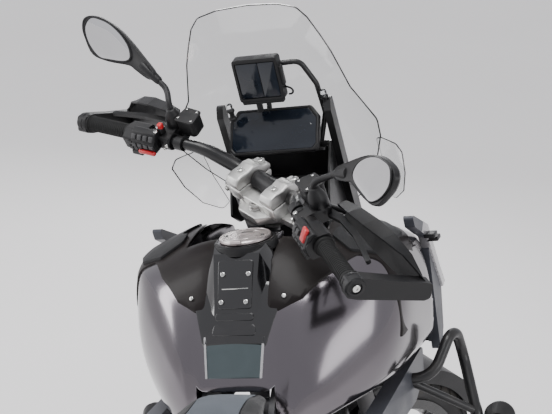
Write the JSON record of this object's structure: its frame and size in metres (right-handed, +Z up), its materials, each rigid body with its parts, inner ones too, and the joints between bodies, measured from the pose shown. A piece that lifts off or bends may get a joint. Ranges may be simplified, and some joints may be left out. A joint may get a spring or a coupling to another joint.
{
  "type": "adventure motorcycle",
  "caption": "Large adventure touring motorcycle with a flat-twin engine, wire wheels, tall clear screen and luggage rack, leaning on its side stand with the bars turned right",
  "frame": {"origin": "centre of the bounding box on the ground, parked on the side stand", "axes": "+X forward, +Y left, +Z up; the bike leans 13 degrees to its left about X"},
  "size_m": [2.2102, 1.068, 1.5679],
  "materials": {
    "black_plastic": "fine grain",
    "cast_silver": "satin cast",
    "clear_sheet": "clear",
    "cover_plastic": "fine grain",
    "cylinder_alu": "bead blasted",
    "disc_steel": "ground",
    "engine_grey": "satin grey paint",
    "frame_grey": "satin powder coat",
    "grip_rubber": "ribbed",
    "lamp_glass": "clear",
    "pad_rubber": "matt",
    "paint_light": "metallic silver",
    "rim_black": "black anodised look",
    "screen_glass": "dark display",
    "seat_cloth": "suede-like",
    "steel_black": "black powder coat",
    "steel_brushed": "brushed",
    "tank_alu": "brushed and clear coated",
    "tyre_rubber": "road tread"
  },
  "bodies": {
    "chassis": {"main_frame": "frame_grey", "rear_frame": "frame_grey", "engine_case": "engine_grey", "cylinders": "cylinder_alu", "head_covers": "engine_grey", "exhaust_headers": "steel_brushed", "silencer": "steel_brushed", "skid_plate": "cast_silver", "swingarm": "engine_grey", "suspension": "steel_black", "radiators": "black_plastic", "fuel_tank": "tank_alu", "tank_covers": "cover_plastic", "tank_pads": "pad_rubber", "seat_rider": "seat_cloth", "seat_passenger": "seat_cloth", "side_panels": "paint_light", "beak": "paint_light", "headlamps": "lamp_glass", "windscreen": "clear_sheet", "cockpit_bracket": "black_plastic", "instruments": "screen_glass", "crash_bars": "steel_black", "footrests": "cast_silver", "luggage_rack": "steel_black", "tail_unit": "black_plastic"},
    "fuel_cap": {"fuel_cap": "cast_silver"},
    "side_stand": {"side_stand": "steel_black"},
    "centre_stand": {"centre_stand": "steel_black"},
    "steering": {"front_fork": "cast_silver", "front_axle": "steel_brushed", "top_yoke": "cast_silver", "handlebar": "steel_black", "grips": "grip_rubber", "hand_guards": "black_plastic", "bar_controls": "black_plastic", "mirrors": "black_plastic", "front_fender": "black_plastic", "front_calipers": "steel_black"},
    "front_wheel": {"front_tyre": "tyre_rubber", "front_rim": "rim_black", "front_discs": "disc_steel"},
    "rear_wheel": {"rear_tyre": "tyre_rubber", "rear_rim": "rim_black", "rear_disc": "disc_steel"}
  },
  "joints": [
    {"name": "steering_turn", "type": "hinge", "parent": "chassis", "child": "steering", "pos_m": [0.94106, -0.22234, 0.00596], "axis": [-0.4435, 0.2016, 0.8733], "range_deg": [0, 74]},
    {"name": "front_wheel_spin", "type": "hinge", "parent": "steering", "child": "front_wheel", "pos_m": [0.81486, -0.17167, 0.32415], "axis": [0.5394, 0.8382, 0.0804], "continuous": true},
    {"name": "rear_wheel_spin", "type": "hinge", "parent": "chassis", "child": "rear_wheel", "pos_m": [-0.71246, -0.15165, 0.31216], "axis": [0, 0.9744, -0.225], "continuous": true},
    {"name": "side_stand_swing", "type": "hinge", "parent": "chassis", "child": "side_stand", "pos_m": [0.03958, -0.03449, 0.26838], "axis": [0.1552, 0.9044, 0.3975], "range_deg": [0, 88.8]},
    {"name": "centre_stand_swing", "type": "hinge", "parent": "chassis", "child": "centre_stand", "pos_m": [-0.1224, -0.1572, 0.28813], "axis": [0, -0.9744, 0.225], "range_deg": [0, 88]},
    {"name": "fuel_cap_lid", "type": "hinge", "parent": "chassis", "child": "fuel_cap", "pos_m": [0.21167, 0.03493, 1.1203], "axis": [0, -0.9744, 0.225], "range_deg": [0, 95]}
  ]
}
